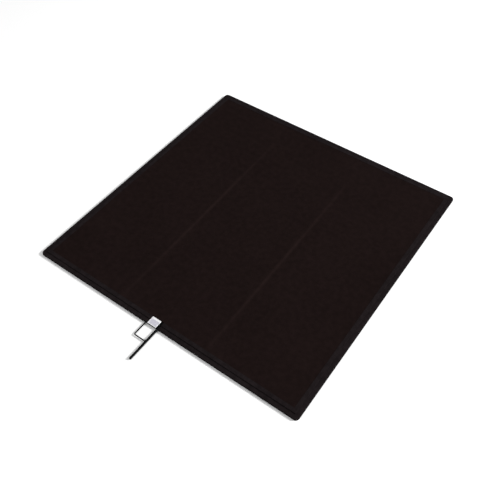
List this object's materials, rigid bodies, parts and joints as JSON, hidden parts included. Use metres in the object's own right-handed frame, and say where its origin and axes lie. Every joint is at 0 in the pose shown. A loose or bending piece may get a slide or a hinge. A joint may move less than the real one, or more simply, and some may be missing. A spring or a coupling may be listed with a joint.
{
  "type": "cloth light flag",
  "caption": "Square black cloth light flag on a tube frame, with a mounting pin, brace wire and a cloth flap that opens along the back edge.",
  "frame": {"origin": "on the mounting pin's axis, at the middle of the pin's free length", "axes": "+Y along the pin into the panel, +X along the front edge, +Z out of the face that carries the flap"},
  "size_m": [1.221, 1.3661, 0.0145],
  "materials": {
    "black_cloth": "brushed matte cotton",
    "hem_cloth": "plain weave, matte",
    "binding_tape": "ribbed webbing, faint sheen",
    "hook_tape": "hook pile",
    "loop_tape": "loop pile",
    "black_steel": "satin black coat",
    "silver_plate": "satin, with a light rim"
  },
  "bodies": {
    "framed_cover": {"rail_front_left": "black_steel", "rail_front_right": "black_steel", "rail_left": "black_steel", "rail_right": "black_steel", "rail_back": "black_steel", "corner_front_left": "black_steel", "corner_front_right": "black_steel", "corner_back_left": "black_steel", "corner_back_right": "black_steel", "mounting_pin": "black_steel", "brace_wire": "black_steel", "weld_beads": "black_steel", "gusset_plate": "black_steel", "name_plate": "silver_plate", "cover_cloth": "black_cloth", "sleeve_front_left": "hem_cloth", "sleeve_front_right": "hem_cloth", "sleeve_left": "hem_cloth", "sleeve_right": "hem_cloth", "sleeve_back": "hem_cloth", "loop_tape_front_left": "loop_tape", "loop_tape_front_right": "loop_tape", "loop_tape_left": "loop_tape", "loop_tape_right": "loop_tape", "flap_root_strip": "black_cloth", "hinge_binding": "binding_tape"},
    "flap": {"flap_cloth": "black_cloth", "hook_tape_front_left": "hook_tape", "hook_tape_front_right": "hook_tape", "hook_tape_left": "hook_tape", "hook_tape_right": "hook_tape", "binding_front_left": "binding_tape", "binding_front_right": "binding_tape", "binding_left": "binding_tape", "binding_right": "binding_tape"}
  },
  "joints": [
    {"name": "flap_hinge", "type": "hinge", "parent": "framed_cover", "child": "flap", "pos_m": [0, 1.29309, 0.00816], "axis": [-1, 0, 0], "range_deg": [0, 180]}
  ]
}
